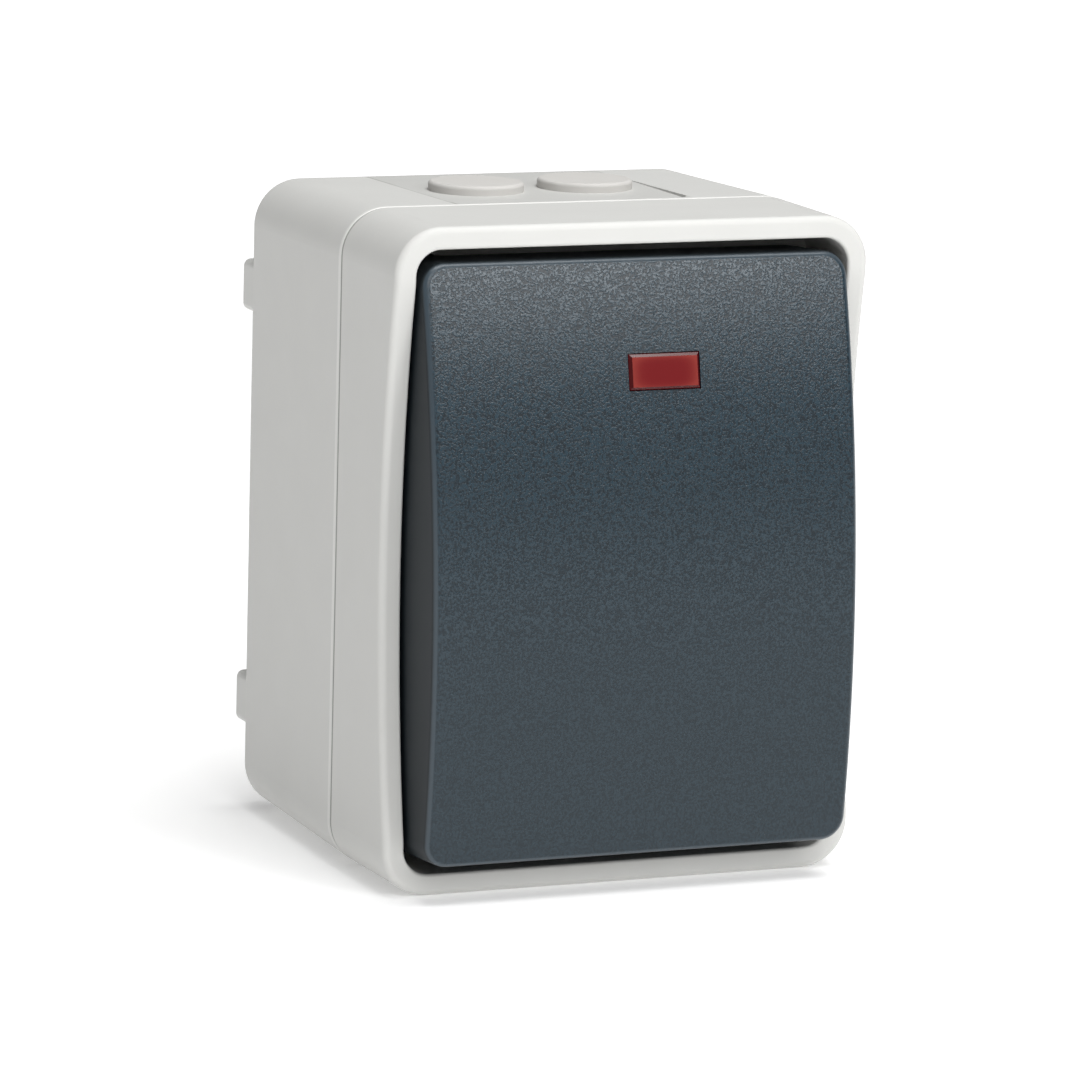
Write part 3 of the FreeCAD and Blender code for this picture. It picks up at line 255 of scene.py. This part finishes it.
# Drawn wire is grey and half bright. The marks of the die are drawn 0.8 mm wide, coarser than real.
wire, tree, surface = new_material("drawn_spring_steel")
place = add(tree, "TexCoord", {}).outputs["Object"]
marks = add(tree, "TexNoise", {"Vector": place, "Scale": 1 / DIE_MARK, "Detail": 2.0})
steel = add(tree, "MixRGB", {"Fac": marks, "Color1": linear("#8f9194"), "Color2": linear("#b3b4b5")})
sheen = add(tree, "MapRange", {"Value": marks, "To Min": 0.25, "To Max": 0.4})
fill(tree, surface, {"Base Color": steel, "Roughness": sheen, "Metallic": 1.0})
wear(wire, "toggle_spring")


# Front cover: the shell that closes the box, with the well for the rocker and scooped side rims. It
# is the same grey ASA as the box, and two screws under the rocker hold it down on the seal.

wear(asa, "front_cover")


# Rocker: the large key that is pressed at its top or bottom end, clipped onto the cradle. It is
# moulded in anthracite ABS, with a fine leather-like grain on its face and smooth sides.

GRAIN_WIDTH, GRAIN_DEPTH, GRAIN_STRENGTH = 0.0003, 0.000025, 0.4
HOLLOW, RIDGE_TOP = 0.38, 0.62
# Painted shade in the grain's hollows: full over the upper part of the face, a share of it lower
# down.
FAINT_SHADE_Z, FULL_SHADE_Z, FAINT_SHADE_SHARE = -0.02, 0.02, 0.45
# How far the surface turns to the front, from 0 on the sides to -1: where the edge and face begin
# and where they are reached.
EDGE_FROM, EDGE_TO, FACE_FROM, FACE_TO = -0.3, -0.6, -0.85, -0.95

# The grain is a web of short worm-like ridges, drawn 0.3 mm wide as the eye sees it. Their tops are
# smoother than the hollows between, and painted shade darkens the hollows, less in the lower half.
# The sides are dull and darkened by painted shade, and the edge between has a painted highlight.
abs_plastic, tree, surface = new_material("grained_abs_anthracite")
coordinates = add(tree, "TexCoord", {}).outputs
place = coordinates["Object"]
toward = add(tree, "SeparateXYZ", {"Vector": coordinates["Normal"]}).outputs
face = add(tree, "MapRange", {"Value": toward["Y"], "From Min": FACE_FROM, "From Max": FACE_TO})
edge = add(tree, "MapRange", {"Value": toward["Y"], "From Min": EDGE_FROM, "From Max": EDGE_TO})
worms = add(tree, "TexNoise", {"Vector": place, "Scale": 1 / GRAIN_WIDTH, "Detail": 1.0,
                               "Distortion": 0.6})
ridges = add(tree, "MapRange", {"Value": worms, "From Min": HOLLOW, "From Max": RIDGE_TOP},
             interpolation_type="SMOOTHSTEP")
strength = add(tree, "Math", {0: face, 1: GRAIN_STRENGTH}, operation="MULTIPLY")
bump = add(tree, "Bump", {"Height": ridges, "Strength": strength, "Distance": GRAIN_DEPTH})
axes = add(tree, "SeparateXYZ", {"Vector": place}).outputs
grain_shade_share = add(tree, "MapRange", {"Value": axes["Z"], "From Min": FAINT_SHADE_Z, "From Max": FULL_SHADE_Z,
                              "To Min": FAINT_SHADE_SHARE, "To Max": 1.0})
# Painted shade: the hollows are darker than the ridge tops, and less so low on the face.
shaded_grain = add(tree, "MixRGB", {"Fac": ridges, "Color1": linear("#0d1a22"), "Color2": linear("#293a44")})
grained = add(tree, "MixRGB", {"Fac": grain_shade_share, "Color1": linear("#1b2a32"), "Color2": shaded_grain})
# Painted shade darkens the sides, and a painted highlight lightens the edge between them and the
# face.
shaded_sides_lit_edge = add(tree, "MixRGB", {"Fac": edge, "Color1": linear("#0f191f"), "Color2": linear("#3b464e")})
anthracite = add(tree, "MixRGB", {"Fac": face, "Color1": shaded_sides_lit_edge, "Color2": grained})
polish = add(tree, "MapRange", {"Value": ridges, "To Min": 0.31, "To Max": 0.23})
rubbing = add(tree, "MapRange", {"Value": edge, "To Min": 0.6, "To Max": 0.3})
satin = add(tree, "MixRGB", {"Fac": face, "Color1": rubbing, "Color2": polish})
fill(tree, surface, {"Base Color": anthracite, "Roughness": satin, "Normal": bump,
                     "IOR": 1.53, "Specular IOR Level": 0.38})
wear(abs_plastic, "rocker")


# Indicator lens: a light pipe that shows the lamp's glow through the rocker, snapped in from behind
# and held by its flange. It is clear red polycarbonate with a polished, bevelled front.

LENS_HALF_WIDTH, LENS_HALF_HEIGHT = 0.0049, 0.0023
BORDER_POWER, BORDER_TO = 4.0, 0.8
FRONT_TO, BEVEL_FROM = -0.95, -0.8
REST_TILT = math.radians(-4.1)
low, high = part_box("indicator_lens")

# Polycarbonate pipes light sideways out of its walls, painted here as a border lighter than the
# middle, and the middle is painted darker, where the eye looks down into the dark behind it. Painted
# shade darkens the bevel round the front, and it shines.
polycarbonate, tree, surface = new_material("clear_red_polycarbonate")
coordinates = add(tree, "TexCoord", {}).outputs
centred = add(tree, "VectorMath", {0: coordinates["Object"], 1: (low + high) / 2},
              operation="SUBTRACT")
upright = add(tree, "VectorRotate", {"Vector": centred, "Angle": -REST_TILT},
              rotation_type="X_AXIS")
axes = add(tree, "SeparateXYZ", {"Vector": upright}).outputs
sideways = add(tree, "Math", {0: axes["X"], 1: LENS_HALF_WIDTH}, operation="DIVIDE")
upward = add(tree, "Math", {0: axes["Z"], 1: LENS_HALF_HEIGHT}, operation="DIVIDE")
to_side = add(tree, "Math", {0: sideways, 1: BORDER_POWER}, operation="POWER")
to_top = add(tree, "Math", {0: upward, 1: BORDER_POWER}, operation="POWER")
outward = add(tree, "Math", {0: to_side, 1: to_top}, operation="ADD")
# Painted light and shade: the border is lighter and the middle darker.
border = add(tree, "MapRange", {"Value": outward, "From Max": BORDER_TO},
             interpolation_type="SMOOTHSTEP")
front = add(tree, "MixRGB", {"Fac": border, "Color1": linear("#6c1417"), "Color2": linear("#83302a")})
toward = add(tree, "SeparateXYZ", {"Vector": coordinates["Normal"]}).outputs
# Painted shade darkens the bevel.
bevel = add(tree, "MapRange", {"Value": toward["Y"], "From Min": FRONT_TO, "From Max": BEVEL_FROM})
red = add(tree, "MixRGB", {"Fac": bevel, "Color1": front, "Color2": linear("#4a0c0f")})
fill(tree, surface, {"Base Color": red, "Roughness": 0.12, "IOR": 1.585})
wear(polycarbonate, "indicator_lens")


# Studio: white paper under the switch in a dim room. A soft box hangs overhead, and a fill box and a
# smaller box stand in front.

FLOOR_HALF, PAPER_CLOUD = 6.0, 0.02
NEAR, FAR, NEAR_GLOW, FAR_GLOW = 0.3, 0.9, 0.25, 0.95

# The paper glows as a sheet does that is lit from below, a little near the switch and more far out,
# where the lamps don't reach, so it looks white from every side.
paper, tree, surface = new_material("white_studio_paper")
place = add(tree, "TexCoord", {}).outputs["Object"]
cloud = add(tree, "TexNoise", {"Vector": place, "Scale": 1 / PAPER_CLOUD, "Detail": 4.0})
white = add(tree, "MixRGB", {"Fac": cloud, "Color1": linear("#f7f7f7"), "Color2": linear("#f9f9f9")})
reach = add(tree, "VectorMath", {0: place}, operation="LENGTH").outputs["Value"]
glow = add(tree, "MapRange", {"Value": reach, "From Min": NEAR, "From Max": FAR,
                              "To Min": NEAR_GLOW, "To Max": FAR_GLOW})
fill(tree, surface, {"Base Color": white, "Roughness": 0.9, "Specular IOR Level": 0.1,
                     "Emission Color": linear("#ffffff"), "Emission Strength": glow})
corners = [(x * FLOOR_HALF, y * FLOOR_HALF, cad_box[0].z)
           for x, y in ((-1, -1), (1, -1), (1, 1), (-1, 1))]
mesh = bpy.data.meshes.new("studio_floor")
mesh.from_pydata(corners, [], [(0, 1, 2, 3)])
mesh.materials.append(paper)
floor = bpy.data.objects.new("studio_floor", mesh)
bpy.context.scene.collection.objects.link(floor)

room = bpy.data.worlds.new("dim_room")
room.use_nodes = True
fill(room.node_tree, room.node_tree.nodes["Background"],
     {"Color": linear("#ffffff"), "Strength": 0.12})
bpy.context.scene.world = room

for name, width, height, watts, location in (
        ("overhead_soft_box", 0.8, 0.8, 11.2, (0.14, -0.18, 1.09)),
        ("front_fill_box", 0.6, 0.6, 3.9, (-0.18, -0.94, 0.63)),
        ("right_small_box", 0.3, 0.32, 3.2, (0.424, -0.997, 0.516))):
    light = bpy.data.lights.new(name, "AREA")
    light.shape = "RECTANGLE"
    light.size, light.size_y = width, height
    light.energy = watts
    stand = bpy.data.objects.new(name, light)
    stand.location = location
    stand.rotation_euler = Vector(location).to_track_quat("Z", "Y").to_euler()
    bpy.context.scene.collection.objects.link(stand)


# Camera: a long lens from the left and a little above, as in the photograph. Its place and turn come
# from a fit to the housing's edges there.

SENSOR_MM, LENS_MM = 36.0, 204.92
CAMERA_AT = Vector((-0.313013, -0.763354, 0.145765))
RIGHT = Vector((0.921671, -0.387101, 0.025970))
UP = Vector((0.047477, 0.178970, 0.982708))
FORWARD = Vector((0.385056, 0.904501, -0.183330))
turn = Matrix((RIGHT, UP, -FORWARD)).transposed().to_4x4()
camera_data = bpy.data.cameras.new("camera")
camera_data.sensor_width = SENSOR_MM
camera_data.lens = LENS_MM
camera = bpy.data.objects.new("camera", camera_data)
camera.matrix_world = Matrix.Translation(CAMERA_AT) @ turn
bpy.context.scene.collection.objects.link(camera)
bpy.context.scene.camera = camera
bpy.context.scene.view_settings.view_transform = "Standard"
